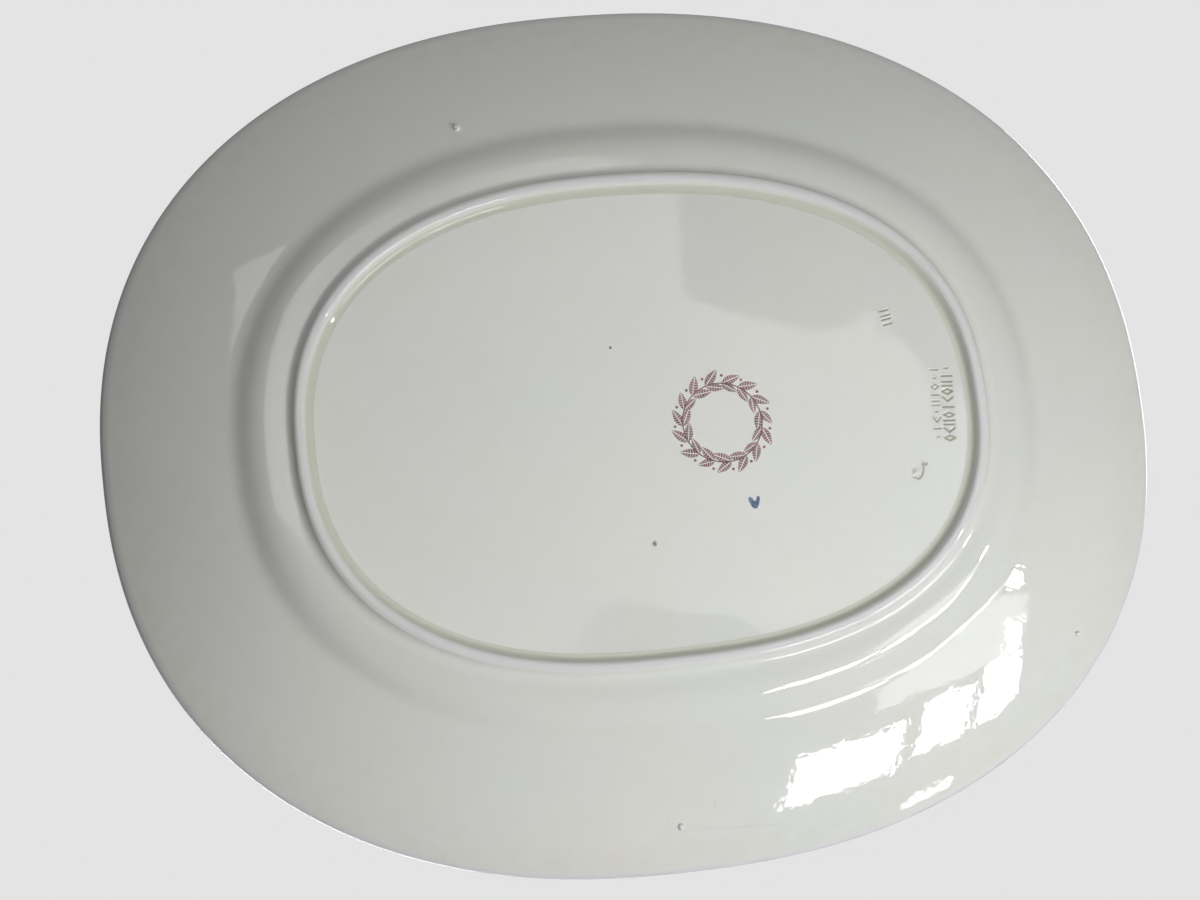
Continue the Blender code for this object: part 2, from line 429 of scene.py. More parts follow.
# The panel's copy is painted lighter, and the coat's a little darker than the foot's.
coat_glaze = make_glaze("cream coat glaze", 8 * MM, 0.052 * MM, 0.28, 0.98)
foot_glaze = make_glaze("rubbed foot glaze", 8 * MM, 0.040 * MM, 0.15, 1.0, worn=True)
panel_glaze = make_glaze("cream panel glaze", 20 * MM, 0.035 * MM, 0.10, 1.03)
print("glaze nodes:", len(coat_glaze.node_tree.nodes))

# %% [markdown]
# ## Sweeping a section round the ovals
#
# The dish and its foot ring follow one rule, so one Geometry Nodes tree makes both. It takes a
# chain of points, each a distance, an offset and a height, and a grid as wide as the chain is
# long. Each grid point reads its own row of the chain and is set on the oval there. The grid's
# seam and poles are merged, so the result is closed. Low noise along the surface stands for the
# hand-pressed clay, and dies out at the lip and the foot.

# %% What every shape tree starts and ends with
CARRIED = ("shrink", "slack", "thin", "pool")
SAME_PLACE = 0.001 * MM


def new_tree(name, numbers):
    """An empty Geometry Nodes tree with named number inputs. Gives its wires too."""
    group = bpy.data.node_groups.new(name, "GeometryNodeTree")
    face = group.interface
    face.new_socket("Geometry", in_out="OUTPUT", socket_type="NodeSocketGeometry")
    face.new_socket("Geometry", in_out="INPUT", socket_type="NodeSocketGeometry")
    for number, whole in numbers:
        kind = "NodeSocketInt" if whole else "NodeSocketFloat"
        face.new_socket(number, in_out="INPUT", socket_type=kind)
    face.new_socket("Material", in_out="INPUT", socket_type="NodeSocketMaterial")
    tree = Tree(group)
    entry = tree.node("NodeGroupInput")
    wires = {socket.name: Wire(tree, socket) for socket in entry.outputs if socket.name}
    return group, tree, wires


def end_tree(tree, shape, finish):
    """Realize Instances, Set Material and the output."""
    shape = tree.add("GeometryNodeRealizeInstances", None, {"Geometry": shape})
    shape = tree.add("GeometryNodeSetMaterial", None, {"Geometry": shape, "Material": finish})
    tree.node("NodeGroupOutput", None, {"Geometry": shape})


def named(tree, name):
    """A number that each point of a mesh carries."""
    return tree.add("GeometryNodeInputNamedAttribute", {"data_type": "FLOAT"}, {"Name": name})


print("each point of a section carries", CARRIED)

# %% [markdown]
# The sizes of the three ovals come in as named inputs, so the tree holds none of its own. A point
# between two ovals takes a size between theirs, by its distance out from the foot line.

# %% The sweep as a node tree
def oval_size(distance, wires, what):
    """A size that runs from the foot's over the shoulder's to the edge's."""
    reach = wires["Shoulder out"]
    inner = distance.spread(0.0, reach, wires["Foot " + what], wires["Shoulder " + what])
    more = wires["Edge " + what] - wires["Shoulder " + what]
    return inner + distance.spread(reach, wires["Edge out"], 0.0, 1.0) * more


OVALS = {"Foot": FOOT, "Shoulder": SHOULDER, "Edge": EDGE}
OVAL_SIZES = {
    f"{place} {what}": size
    for place, sizes in OVALS.items()
    for what, size in zip(("length", "width", "squareness"), sizes)
}
SWEEP_NUMBERS = [("Around", True), ("Shoulder out", False), ("Edge out", False)]
SWEEP_NUMBERS += [(name, False) for name in OVAL_SIZES]
SWEEP_NUMBERS += [(name, False) for name in ("Swelling", "Unevenness", "Patch size", "Seed")]


def make_sweep_tree():
    group, tree, wires = new_tree("oval_sweep", SWEEP_NUMBERS)
    chain = wires["Geometry"]
    rows = tree.add("GeometryNodeAttributeDomainSize", {"component": "MESH"}, {"Geometry": chain})
    size = {"Size X": 1.0, "Size Y": 1.0, "Vertices X": wires["Around"] + 1, "Vertices Y": rows}
    grid = tree.add("GeometryNodeMeshGrid", None, size, "Mesh")
    along, up, _ = tree.parts(tree.add("GeometryNodeInputPosition"))
    turn = (along + 0.5) * FULL_TURN
    row = (up + 0.5) * (rows - 1)
    row = row.maths("ROUND", row)

    def read(kind, value):
        sockets = {"Geometry": chain, "Value": value, "Index": row}
        return tree.add("GeometryNodeSampleIndex", {"data_type": kind, "domain": "POINT"}, sockets)

    section = read("FLOAT_VECTOR", tree.add("GeometryNodeInputPosition"))
    distance, offset, height = tree.parts(section)
    carried = {name: read("FLOAT", named(tree, name)) for name in CARRIED}

    half_length = oval_size(distance, wires, "length") / 2 + offset
    half_width = oval_size(distance, wires, "width") / 2 + offset
    square = oval_size(distance, wires, "squareness")
    along = (abs(turn.cos()) / half_length) ** square
    across = (abs(turn.sin()) / half_width) ** square
    swell = wires["Swelling"] * ((turn - LOBE_TURN) * LOBES).cos()
    radius = ((along + across) ** (-1 / square) + swell) * carried["shrink"]
    sockets = {
        "X": radius * turn.cos() - float(MIDDLE[0]),
        "Y": radius * turn.sin() - float(MIDDLE[1]),
        "Z": height,
    }
    spot = tree.add("ShaderNodeCombineXYZ", None, sockets)

    for name in ("slack", "thin", "pool"):
        sockets = {"Geometry": grid, "Name": name, "Value": carried[name]}
        settings = {"data_type": "FLOAT", "domain": "POINT"}
        grid = tree.add("GeometryNodeStoreNamedAttribute", settings, sockets)
    shape = tree.add("GeometryNodeSetPosition", None, {"Geometry": grid, "Position": spot})
    merge = {"Geometry": shape, "Distance": SAME_PLACE}
    shape = tree.add("GeometryNodeMergeByDistance", None, merge)
    shape = tree.add("GeometryNodeSetShadeSmooth", None, {0: shape})

    here = tree.add("GeometryNodeInputPosition")
    sockets = {"Vector": here, "W": wires["Seed"], "Scale": 1 / wires["Patch size"], "Detail": 1.0}
    bumps = tree.add("ShaderNodeTexNoise", {"noise_dimensions": "4D"}, sockets, "Fac") - 0.5
    push = bumps * named(tree, "slack") * wires["Unevenness"] * 2
    move = tree.vector("SCALE", tree.add("GeometryNodeInputNormal"), Scale=push)
    shape = tree.add("GeometryNodeSetPosition", None, {"Geometry": shape, "Offset": move})
    end_tree(tree, shape, wires["Material"])
    return group


sweep_tree = make_sweep_tree()
print("the sweep has", len(sweep_tree.nodes), "nodes")

# %% [markdown]
# A tree makes nothing until an object carries it as a modifier. The next cell gives an object the
# modifier, sets each input by its socket's identifier, then turns the result into a plain mesh and
# drops the modifier. It also checks by volume that the faces look outwards.

# %% From a tree to a plain mesh
def set_inputs(modifier, values):
    """Sets a tree's named inputs."""
    for item in modifier.node_group.interface.items_tree:
        if item.in_out == "INPUT" and item.name in values:
            modifier[item.identifier] = values[item.name]


def turn_outwards(mesh):
    """Turns a closed mesh's faces outwards, and counts its open edges."""
    bm = bmesh.new()
    bm.from_mesh(mesh)
    if bm.calc_volume(signed=True) < 0:
        bmesh.ops.reverse_faces(bm, faces=bm.faces)
    open_edges = sum(not edge.is_manifold for edge in bm.edges)
    bm.to_mesh(mesh)
    bm.free()
    return open_edges


def grow(name, source, group, values):
    """Makes a plain mesh piece from a source mesh and a tree."""
    carrier = put(name + "_carrier", source)
    modifier = carrier.modifiers.new("shape", "NODES")
    modifier.node_group = group
    set_inputs(modifier, values)
    graph = bpy.context.evaluated_depsgraph_get()
    mesh = bpy.data.meshes.new_from_object(carrier.evaluated_get(graph), depsgraph=graph)
    bpy.data.objects.remove(carrier, do_unlink=True)
    mesh.name = name
    open_edges = turn_outwards(mesh)
    triangles = sum(len(face.vertices) - 2 for face in mesh.polygons)
    print(f"{name}: {triangles} triangles, {open_edges} open edges")
    return put(name, mesh)


def chain_mesh(name, rows):
    """The section as a chain of points: distance, offset, height and the carried values."""
    mesh = bpy.data.meshes.new(name)
    mesh.from_pydata([row[:3] for row in rows], [(i, i + 1) for i in range(len(rows) - 1)], [])
    for place, attribute in enumerate(CARRIED, start=3):
        layer = mesh.attributes.new(attribute, "FLOAT", "POINT")
        layer.data.foreach_set("value", [row[place] for row in rows])
    return mesh


print("shapes are grown from a source mesh and a tree")

# %% [markdown]
# ## The glazed dish
#
# On the real platter the glaze is one skin from the middle of the well, over the lip and down to
# the foot. Its chain of points starts at the well's middle, goes out up the food side, round the
# lip, in along the back, and closes over itself above the foot, so the clay body is wrapped.

# %% The chain of the dish
AROUND = 300
SHOULDER_STEPS = 18
RIM_STEPS = 22
LIP_STEPS = 14
WELL_RINGS = 12
WRAP_RINGS = 5
WRAP_HEIGHT = FOOT_HEIGHT + 0.55 * MM
BESIDE_FOOT = FOOT_OUTER + 0.3 * MM
TUCK = FOOT_OUTER - 0.9 * MM  # how far in the glaze goes under the foot's own glaze
THIN_EDGE = 9 * MM  # how wide the glaze thins towards the lip


def stations():
    """Distances and offsets from the foot to the lip."""
    places = []
    for i in range(SHOULDER_STEPS):
        out = i / SHOULDER_STEPS
        places.append((SHOULDER_OUT * out, BESIDE_FOOT * (1 - out)))
    for i in range(RIM_STEPS + 1):
        out = i / RIM_STEPS
        distance = SHOULDER_OUT + (EDGE_OUT - SHOULDER_OUT) * out
        places.append((distance, (LIP_START - EDGE_OUT) * out))
    return places


def hump(value, low, high):
    """0 outside a range, easing to 1 in its middle."""
    return math.sin(math.pi * share(value, low, high)) ** 2


def near_edge(reach):
    """0 on the rim, running to 1 at the edge."""
    return 1 - min((EDGE_OUT - reach) / THIN_EDGE, 1)


print("stations from the foot to the lip:", len(stations()))

# %% [markdown]
# Each row of the chain says where it lies and what the glaze does there: how slack its surface is,
# how thin the glaze ran and how much of it pooled. Glaze runs off the lip and gathers in corners.
# On the back, painted shade is added to the pooling and grows towards the lip.

# %% The rows of the dish
def dish_rows():
    """The whole chain, with how slack, thin and pooled each row is."""
    rows = []
    floor = FOOT_HEIGHT + WALL
    for i in range(WELL_RINGS):
        shrink = i / WELL_RINGS
        rows.append((0.0, FOOT_OUTER, floor, shrink, 1.0, 0.0, 0.0))
    for number, (distance, offset) in enumerate(stations()):
        reach = distance + offset
        slope = back_slope(reach)
        thick = float(np.interp(reach, (SHOULDER_OUT, EDGE_OUT), (WALL, LIP)))
        side = offset - thick * math.sin(slope)
        height = back_height(reach) + thick * math.cos(slope)
        if number == 0:
            side, height = FOOT_OUTER, floor
        pool = 0.5 * hump(reach, 8 * MM, 24 * MM)
        edge = near_edge(reach)
        rows.append((distance, side, height, 1.0, 1 - edge, edge**3, pool))
    for i in range(1, LIP_STEPS):
        turn = math.radians(90 - 120 * i / LIP_STEPS)
        side = LIP / 2 * (math.cos(turn) - 1)
        rows.append((EDGE_OUT, side, LIP_UP + LIP / 2 * math.sin(turn), 1.0, 0.0, 1.0, 0.0))
    for distance, offset in reversed(stations()):
        reach = distance + offset
        edge = near_edge(reach)
        start = share(reach - FOOT_OUTER, 4.4 * MM, 10.4 * MM)
        # Pooled glaze in the crease by the shoulder, and painted shade that darkens the back
        # towards the lip.
        pool = 0.25 * hump(reach, 14 * MM, 26 * MM) + 0.30 * share(reach, 38 * MM, 58 * MM)
        height = back_height(reach, GLAZE_BEND)
        rows.append((distance, offset, height, 1.0, (1 - edge) * start, edge**6, pool))
    rows.append((0.0, TUCK, FOOT_HEIGHT + 0.1 * MM, 1.0, 0.0, 0.0, 0.5))
    for i in range(WRAP_RINGS):
        rows.append((0.0, TUCK, WRAP_HEIGHT, 1 - i / (WRAP_RINGS - 1), 0.0, 0.0, 0.0))
    return rows


sweep_values = {
    "Around": AROUND,
    "Shoulder out": SHOULDER_OUT,
    "Edge out": EDGE_OUT,
    "Swelling": OUT_OF_TRUE,
    "Unevenness": 0.14 * MM,
    "Patch size": 55 * MM,
    "Seed": 4.0,
    **OVAL_SIZES,
}
dish_chain = chain_mesh("dish_chain", dish_rows())
glazed_dish = grow("glazed_dish", dish_chain, sweep_tree, {**sweep_values, "Material": coat_glaze})

# %% [markdown]
# ## The foot ring
#
# The ring is a strip of clay pressed onto the back, so its sides run into the dish in soft corners
# that glaze has filled. The same sweep makes it from its own closed chain. The crest is worn flat,
# and its glaze is thin there.

# %% The chain of the foot
CREST_FLAT = 0.3 * MM
FOOT_AROUND = 420
OUTER_TOE = 3.4 * MM
INNER_TOE = 2.6 * MM


def curve_between(points, steps):
    """Points on a soft curve drawn by four points, without the first."""
    curve = []
    for i in range(1, steps + 1):
        t = i / steps
        weights = ((1 - t) ** 3, 3 * t * (1 - t) ** 2, 3 * t * t * (1 - t), t**3)
        curve.append(tuple(sum(w * p[k] for w, p in zip(weights, points)) for k in range(2)))
    return curve


def foot_side(width, toe, surface):
    """From the crest down one side and out along a surface: offset and height."""
    flat, rest = CREST_FLAT / 2, width - CREST_FLAT / 2
    sweep = [math.radians(a) for a in range(0, 43, 4)]
    side = [(flat + rest * math.sin(a), FOOT_HEIGHT * (1 - math.cos(a))) for a in sweep]
    end = (width + toe, surface(width + toe))
    rise = (surface(end[0] + 0.1 * MM) - surface(end[0])) / (0.1 * MM)

    def along(x):
        return (x, end[1] + rise * (x - end[0]))

    side += curve_between((side[-1], along(width + 0.1 * MM), along(width + 0.5 * toe), end), 20)
    tail = end[0] + 1.0 * MM
    return side + [(tail, surface(tail) + 0.03 * MM)]


def foot_rows():
    """The foot's closed chain. Beyond its side it keeps to the dish's own ovals."""
    outer = foot_side(FOOT_OUTER, OUTER_TOE, lambda reach: back_height(reach, GLAZE_BEND))
    inner = foot_side(FOOT_INNER, INNER_TOE, lambda reach: FOOT_HEIGHT)
    inner = [(-offset, height) for offset, height in inner]
    top = FOOT_HEIGHT + 0.45 * MM
    loop = outer + [(outer[-1][0], top), (inner[-1][0], top)] + list(reversed(inner))
    loop.append(loop[0])
    rows = []
    for reach, height in loop:
        up = min(height / FOOT_HEIGHT, 1)
        deep = 1.0 if reach < 0 else 0.15
        thin = 0.62 * max(1 - up / 0.30, 0) ** 0.8
        out = max((reach - BESIDE_FOOT) / (SHOULDER_OUT - BESIDE_FOOT), 0)
        place = (SHOULDER_OUT * out, BESIDE_FOOT * (1 - out)) if out else (0.0, reach)
        rows.append((*place, height, 1.0, 0.0, thin, deep * hump(up, 0.35, 1.35)))
    return rows


foot_values = {**sweep_values, "Unevenness": 0.0, "Around": FOOT_AROUND, "Material": foot_glaze}
glazed_foot = grow("glazed_foot", chain_mesh("foot_chain", foot_rows()), sweep_tree, foot_values)

# %% [markdown]
# ## The marks pressed into the back
#
# Before glazing, a workman pressed small stamps into the soft clay. These are lines of bars,
# diamonds and arrows, and a hook with a bead of glaze in it. They stand for any pottery's marks
# and spell nothing. Each stroke is a hollow with soft sides and a slight lip, given by its depth
# at a point, so real geometry can follow it.

# %% The strokes of the stamps
STAMP_DEPTH = 0.34 * MM
STAMP_LIP = 0.07 * MM
SOFT = 0.18 * MM

# Strokes of each small figure, in a cell one unit along the line and one unit across it.
FIGURES = {
    "stake": [((0.0, -0.5), (0.0, 0.5))],
    "gate": [((-0.3, -0.5), (-0.3, 0.5)), ((0.3, -0.5), (0.3, 0.5))],
    "arrow": [((-0.35, -0.5), (0.3, 0.0)), ((0.3, 0.0), (-0.35, 0.5))],
    "seed": [((0.0, -0.14), (0.0, 0.14))],
    "diamond": [
        ((0.0, -0.5), (0.38, 0.0)), ((0.38, 0.0), (0.0, 0.5)),
        ((0.0, 0.5), (-0.38, 0.0)), ((-0.38, 0.0), (0.0, -0.5)),
    ],
}


def figures_line(start, end, names, tall, stroke):
    """Strokes of figures set in a line: from, to and half the stroke's width."""
    start, end = Vector(start) * MM, Vector(end) * MM
    pitch = (end - start) / (len(names) - 1)
    along = pitch.normalized()
    across = Vector((-along.y, along.x)) * tall * MM
    along = along * pitch.length * 0.85
    strokes = []
    for number, name in enumerate(names):
        spot = start + pitch * number
        for ends in FIGURES[name]:
            first, last = (spot + along * u + across * v for u, v in ends)
            strokes.append((first, last, stroke * MM / 2))
    return strokes


LONG_LINE = "seed stake gate diamond arrow stake diamond gate arrow diamond".split()
SHORT_LINE = "stake seed diamond stake gate seed arrow stake seed".split()
HOOK = (
    (-93.4, -23.3), (-92.3, -22.8), (-92.1, -25.4), (-91.5, -27.0), (-90.3, -28.0), (-88.9, -27.4),
)
HOOK_HALF = 0.42 * MM
BEAD = (Vector((-89.6, -25.9)) * MM, 0.80 * MM, 0.60 * MM)  # centre, radius, height
REACH = 5 * MM  # no stroke is longer, so those that start further off are skipped

stamp_strokes = figures_line((-104.7, 8.6), (-102.9, -15.3), LONG_LINE, 3.5, 0.62)
stamp_strokes += figures_line((-100.5, 8.4), (-98.9, -14.6), SHORT_LINE, 2.5, 0.45)
stamp_strokes += figures_line((-86.1, 30.2), (-86.9, 25.4), ("stake", "gate", "stake"), 3.0, 0.55)
hook = [Vector(point) * MM for point in HOOK]
stamp_strokes += [(first, last, HOOK_HALF) for first, last in zip(hook, hook[1:])]


print(len(stamp_strokes), "strokes,", STAMP_DEPTH / MM, "mm deep")

# %% [markdown]
# A stamp is pressed in by hand, so the clay it moves rises beside the stroke. Depth falls softly at
# a stroke's side and turns into a low lip there. The bead in the hook is a drop that stands up.

# %% How deep the stamps are
def away_from(spot, first, last):
    """Distance from a point to a stroke's middle line."""
    run = last - first
    along = share((spot - first).dot(run), 0, run.length_squared)
    return (spot - first - run * along).length


def stamp_depth(x, y):
    """Depth of all the marks at a point of the back. Clay is pushed up into a lip beside each."""
    spot = Vector((x, y))
    hollow, lip = 0.0, 0.0
    for first, last, half in stamp_strokes:
        if (spot - first).length < REACH:
            outside = away_from(spot, first, last) - half
            hollow = max(hollow, 1 - share(outside, -SOFT, SOFT))
            lip = max(lip, math.exp(-(((outside - 0.3 * MM) / (0.2 * MM)) ** 2)))
    centre, radius, height = BEAD
    bead = height * math.exp(-((spot - centre).length_squared / radius**2))
    return hollow * STAMP_DEPTH - lip * (1 - hollow) * STAMP_LIP - bead


def stamp_areas():
    """Boxes that need a fine mesh."""
    boxes = [((-107.5, -17.5), (-96.5, 11.0)), ((-89.0, 23.5), (-84.0, 32.2))]
    boxes += [((-94.9, -29.6), (-87.2, -21.4)), ((-1.2, -44.6), (3.6, -39.8))]
    return [tuple(Vector(corner) * MM for corner in box) for box in boxes]


start, end, _ = stamp_strokes[0]
print("depth in the first stroke:", round(stamp_depth(*((start + end) / 2)) / MM, 2), "mm")

# %% [markdown]
# ## The glazed panel inside the foot
#
# The back inside the foot is one nearly flat panel. A triangulation suits it best: coarse over the
# plain part and very fine under the stamps, which a regular grid can't be. Slow waves of less than
# a tenth of a millimetre keep its reflections from looking like a mirror's.

# %% The height of the panel
PANEL_EDGE = -FOOT_INNER - 0.3 * MM
PANEL_TOP = FOOT_HEIGHT + 0.4 * MM
COARSE = 3.4 * MM
FINE = 0.22 * MM
ROW_STEP = 0.866  # rows of a triangular grid, in steps
PANEL_AROUND = 260
PIP = (Vector((1.2, -42.2)) * MM, 1.35 * MM, 0.22 * MM, 0.08 * MM)  # centre, radius, width, height


def panel_wave(x, y):
    """Slow unevenness of the panel."""
    wave = noise.noise(Vector((x / (42 * MM), y / (42 * MM), 3.7)))
    small = noise.noise(Vector((x / (15 * MM), y / (15 * MM), 8.1)))
    return (0.085 * wave + 0.012 * small) * MM


def pip_height(x, y):
    """A low ring of glaze round a grain caught in it."""
    centre, radius, width, height = PIP
    away = math.hypot(x - centre.x, y - centre.y)
    return -height * math.exp(-(((away - radius) / width) ** 2))


def panel_height(x, y):
    """Height of the panel. Its waves die out where the foot's glaze runs onto it."""
    spot = Vector((x, y)) + Vector(MIDDLE)
    border = np.linalg.norm(oval_point(math.atan2(spot.y, spot.x), 0.0, PANEL_EDGE))
    calm = share(border - spot.length, 4 * MM, 14 * MM)
    return FOOT_HEIGHT + calm * panel_wave(x, y) + stamp_depth(x, y) + pip_height(x, y)


print("height of the panel's middle:", round(panel_height(0, 0) / MM, 2), "mm")

# %% [markdown]
# Points are laid in triangular grids, coarse outside the boxes that hold stamps and fine inside
# them, and joined by a triangulation that keeps the outline. The outline is then raised and capped,
# so the panel is closed like a tile.

# %% The panel's triangles
def grid_points(low, high, step, keep):
    """Points of a triangular grid in a box."""
    points = []
    rows = int((high.y - low.y) / (step * ROW_STEP)) + 1
    for j in range(rows):
        y = low.y + j * step * ROW_STEP
        shift = step / 2 if j % 2 else 0.0
        for i in range(int((high.x - low.x) / step) + 1):
            spot = Vector((low.x + i * step + shift, y))
            if keep(spot):
                points.append(spot)
    return points


def inside_panel(spot, margin):
    """True well inside the panel's outline."""
    spot = spot + Vector(MIDDLE)
    angle = math.atan2(spot.y, spot.x)
    return spot.length < np.linalg.norm(oval_point(angle, 0.0, PANEL_EDGE)) - margin


def make_panel():
    border = [Vector(oval_point(a, 0.0, PANEL_EDGE) - MIDDLE) for a in turns(PANEL_AROUND)]
    areas = stamp_areas()

    def plain(spot):
        crowded = any(
            low.x - FINE < spot.x < high.x + FINE and low.y - FINE < spot.y < high.y + FINE
            for low, high in areas
        )
        return inside_panel(spot, 1.2 * MM) and not crowded

    points = list(border)
    points += grid_points(Vector((-0.12, -0.09)), Vector((0.12, 0.09)), COARSE, plain)
    for low, high in areas:
        points += grid_points(low, high, FINE, lambda spot: inside_panel(spot, 0.4 * MM))
    ring = [(i, (i + 1) % len(border)) for i in range(len(border))]
    flat, _, faces, _, _, _ = geometry.delaunay_2d_cdt(points, ring, [], 1, 1e-7)
    bm = bmesh.new()
    low = [bm.verts.new((p.x, p.y, panel_height(p.x, p.y))) for p in flat]
    for face in faces:
        bm.faces.new([low[i] for i in face])
    bm.faces.ensure_lookup_table()
    rim = [edge for edge in bm.edges if len(edge.link_faces) == 1]
    lifted = bmesh.ops.extrude_edge_only(bm, edges=rim)["geom"]
    top = [item for item in lifted if isinstance(item, bmesh.types.BMVert)]
    for vert in top:
        vert.co.z = PANEL_TOP
    bmesh.ops.contextual_create(bm, geom=[e for e in lifted if isinstance(e, bmesh.types.BMEdge)])
    bmesh.ops.recalc_face_normals(bm, faces=bm.faces)
    return closed(bm, "glazed_panel", panel_glaze)


panel_mesh = make_panel()
print("faces of the panel:", len(panel_mesh.polygons))

# %% [markdown]
# Glaze gathers in the hollows of the stamps, and shade is painted into them, so they look darker
# than the panel. Each point keeps how deep it lies, and the finish turns that into grey-green
# pooled glaze and, where deepest, a dark painted shade.

# %% Pooled glaze and painted shade in the stamps
# How strongly each hollow's depth turns into pooled glaze and painted shade.
HOLLOW_POOL_AND_SHADE = {"stamps": 2.0, "hook": 1.3}
HOOK_SIDE = -20 * MM  # the hook lies on the far side of this, measured across the platter

panel_open = turn_outwards(panel_mesh)
panel_mesh.shade_smooth()
panel_mesh.set_sharp_from_angle(angle=math.radians(50))
panel_mesh.attributes.new("thin", "FLOAT", "POINT")
pool_layer = panel_mesh.attributes.new("pool", "FLOAT", "POINT")
pooled = []
for vert in panel_mesh.vertices:
    pool_and_shade_gain = HOLLOW_POOL_AND_SHADE["hook" if vert.co.y < HOOK_SIDE else "stamps"]
    pooled.append(pool_and_shade_gain * max(stamp_depth(*vert.co.xy), 0) / STAMP_DEPTH)
pool_layer.data.foreach_set("value", pooled)
glazed_panel = put("glazed_panel", panel_mesh)
print("open edges of the panel:", panel_open)

# %% [markdown]
# ## The printed wreath
#
# The maker's print was a transfer in plum-brown ink, engraved in fine lines. A plain laurel wreath
# stands in its place, in the same ink. Ink lies thicker in some lines than in others, so its tone
# wanders between a dark and a light one. The painter's blue is made the same way.

# %% The inks
INK_GRAIN = 0.35 * MM
PLUM = ((0.150, 0.052, 0.056), (0.40, 0.22, 0.20))  # where it lies thick, and thin
BLUE = ((0.030, 0.070, 0.190), (0.20, 0.29, 0.46))


def make_ink(name, dark, light, patch):
    """Printed or painted colour that lies unevenly, under the gloss of the glaze."""
    finish, tree, where = new_finish(name)
    body = clouds(tree, where, patch, 3.0, 0.65)
    grain = clouds(tree, where, INK_GRAIN, 2.0, 0.6)
    sockets = {
        "Base Color": tree.blend((body * 0.75 + grain * 0.45).step(0.38, 0.88), dark, light),
        "Roughness": grain.spread(0.3, 0.7, 0.12, 0.22),
        "IOR": GLASS_IOR,
        "Coat Weight": 0.3,
        "Coat Roughness": 0.05,
    }
    end_finish(tree, sockets)
    return finish


plum_ink = make_ink("plum transfer ink", *PLUM, 2.6 * MM)
blue_enamel = make_ink("blue painter's enamel", *BLUE, 1.1 * MM)
print("inks:", plum_ink.name, "and", blue_enamel.name)

# %% [markdown]
# An engraver draws a leaf as short strokes that slant from a bare vein. Each stroke is a thin
# closed prism here, and the leaf is one unit long in all, so a tree can scale it to any length.

# %% One leaf
PRINT_DEEP = 0.11 * MM
STRIPS, STRIP_GAP, SLANT = 8, 0.010, 0.10
VEIN_HALF = 0.022


def prism(bm, outline, low, high):
    """A flat closed shape between two heights."""
    rings = [[bm.verts.new((x, y, z)) for x, y in outline] for z in (low, high)]
    bm.faces.new(rings[0])
    bm.faces.new(rings[1])
    for i in range(len(outline)):
        bm.faces.new((rings[0][i - 1], rings[0][i], rings[1][i], rings[1][i - 1]))


def leaf_mesh():
    """A leaf along +X, one unit long: engraved strips on both sides of a bare vein."""
    bm = bmesh.new()

    def edge(t, side):
        return (t, side * (0.20 * math.sin(math.pi * t**0.8) + 0.025))

    for side in (1, -1):
        vein = side * VEIN_HALF
        for number in range(STRIPS):
            low, high = number / STRIPS + STRIP_GAP, (number + 1) / STRIPS - STRIP_GAP
            root, tip = (max(t * 0.94 - SLANT * (1 - t), 0.0) + 0.03 for t in (low, high))
            prism(bm, [(root, vein), (tip, vein), edge(high, side), edge(low, side)], 0.0, 1.0)
    bmesh.ops.recalc_face_normals(bm, faces=bm.faces)
    return closed(bm, "leaf")


leaf = leaf_mesh()
print("a leaf has", len(leaf.polygons), "faces")

# %% [markdown]
# Leaves stand on the points of a circle, one row leaning out and one leaning in. Each is turned and
# sized a little differently by a seeded random value. Berries stand on a wider circle outside, and
# a thin stem runs round under the leaves.

# %% The wreath as a node tree
def make_wreath_tree():
    numbers = [("Leaves", True), ("Radius", False), ("Leaf length", False), ("Lean", False)]
    numbers += [("Depth", False), ("Berry", False), ("Seed", True)]
    group, tree, wires = new_tree("wreath", numbers)
    depth, radius, berry_size = wires["Depth"], wires["Radius"], wires["Berry"]

    def ring_of_points(radius):
        sockets = {"Vertices": wires["Leaves"], "Radius": radius}
        return tree.add("GeometryNodeMeshCircle", None, sockets)

    def jitter(low, high, number):
        """A random share for each leaf, steady for a given seed."""
        sockets = {2: low, 3: high, "Seed": wires["Seed"] + number}
        return tree.add("FunctionNodeRandomValue", {"data_type": "FLOAT"}, sockets, 1)

    def place_on(points, piece, **sockets):
        sockets.update({"Points": points, "Instance": piece})
        return tree.add("GeometryNodeInstanceOnPoints", None, sockets)

    ring = ring_of_points(radius)
    along, up, _ = tree.parts(tree.add("GeometryNodeInputPosition"))
    bearing = up.maths("ARCTAN2", up, along)
    rows = []
    for number, side in enumerate((1.0, -1.0)):
        lean = wires["Lean"] * side * -1.0
        turn = bearing + math.pi / 2 + lean + jitter(-0.09, 0.09, number)
        rotation = tree.add("ShaderNodeCombineXYZ", None, {"Z": turn})
        length = wires["Leaf length"] * jitter(0.88, 1.1, number + 4)
        scale = tree.add("ShaderNodeCombineXYZ", None, {"X": length, "Y": length, "Z": depth})
        rows.append(place_on(ring, wires["Geometry"], Rotation=rotation, Scale=scale))
    berry = {"Vertices": 12, "Radius": berry_size, "Depth": depth}
    berry = tree.add("GeometryNodeMeshCylinder", None, berry)
    rows.append(place_on(ring_of_points(radius + wires["Leaf length"] * 0.42), berry))
    circle = {"Resolution": 96, "Radius": radius}
    circle = tree.add("GeometryNodeCurvePrimitiveCircle", None, circle)
    strip = {"Width": berry_size * 0.8, "Height": depth}
    strip = tree.add("GeometryNodeCurvePrimitiveQuadrilateral", None, strip)
    stem = {"Curve": circle, "Profile Curve": strip}
    rows.append(tree.add("GeometryNodeCurveToMesh", None, stem))
    joined = tree.node("GeometryNodeJoinGeometry")
    for row in rows:
        tree.tree.links.new(row.socket, joined.inputs[0])
    end_tree(tree, Wire(tree, joined.outputs[0]), wires["Material"])
    return group


